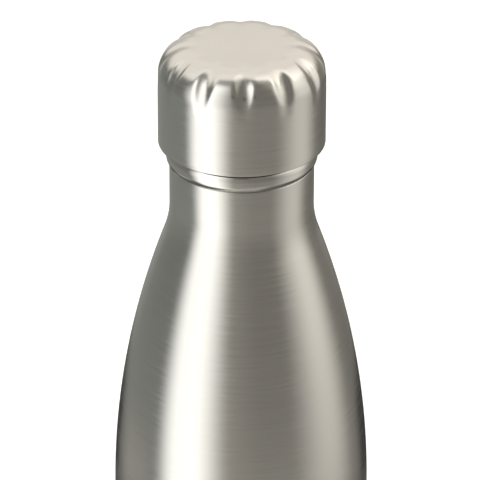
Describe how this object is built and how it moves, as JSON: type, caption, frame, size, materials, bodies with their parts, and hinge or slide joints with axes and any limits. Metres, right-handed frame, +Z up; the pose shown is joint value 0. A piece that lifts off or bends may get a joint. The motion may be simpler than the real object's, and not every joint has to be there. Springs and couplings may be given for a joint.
{
  "type": "insulated water bottle",
  "caption": "Slim vacuum-insulated steel water bottle with a bulging shoulder, polished mouth ring and fluted screw cap that unscrews and lifts off.",
  "frame": {"origin": "centre of the foot, on the plane the bottle stands on", "axes": "+Z up the bottle's axis towards the cap; -Y towards the viewer, with one flute of the cap facing that way to within 1.5 degrees"},
  "size_m": [0.071, 0.071, 0.26],
  "materials": {
    "brushed_steel_shell": "satin",
    "brushed_steel_cap": "satin",
    "polished_steel": "polished",
    "plain_steel_base": "satin",
    "inner_steel": "satin",
    "copper_foil": "gloss",
    "sealing_glass": "gloss",
    "sintered_getter": "matte",
    "silicone": "matte",
    "stopper_plastic": "satin",
    "foam": "matte"
  },
  "bodies": {
    "bottle": {"outer_shell": "brushed_steel_shell", "outer_base": "plain_steel_base", "base_cover": "plain_steel_base", "evacuation_seal": "sealing_glass", "getter_holder": "plain_steel_base", "getter_pellet": "sintered_getter", "foil_wrap": "copper_foil", "inner_vessel": "inner_steel", "inner_base": "inner_steel", "mouth_ring": "polished_steel"},
    "seal": {"seal_ring": "silicone"},
    "cap": {"stopper_body": "stopper_plastic", "stopper_end_plate": "stopper_plastic", "plug_foam": "foam", "cap_foam": "foam", "cap_shell": "brushed_steel_cap"}
  },
  "joints": [
    {"name": "cap_lift", "type": "slide", "parent": "bottle", "child": "seal", "axis": [0, 0, 1], "range_m": [0, 0.0251]},
    {"name": "cap_turn", "type": "hinge", "parent": "seal", "child": "cap", "pos_m": [0, 0, 0.232], "axis": [0, 0, 1], "range_deg": [0, 1800]}
  ],
  "couplings": [
    {"joint": "cap_lift", "follows": "cap_turn", "m_per_rad": 0.00079577}
  ]
}
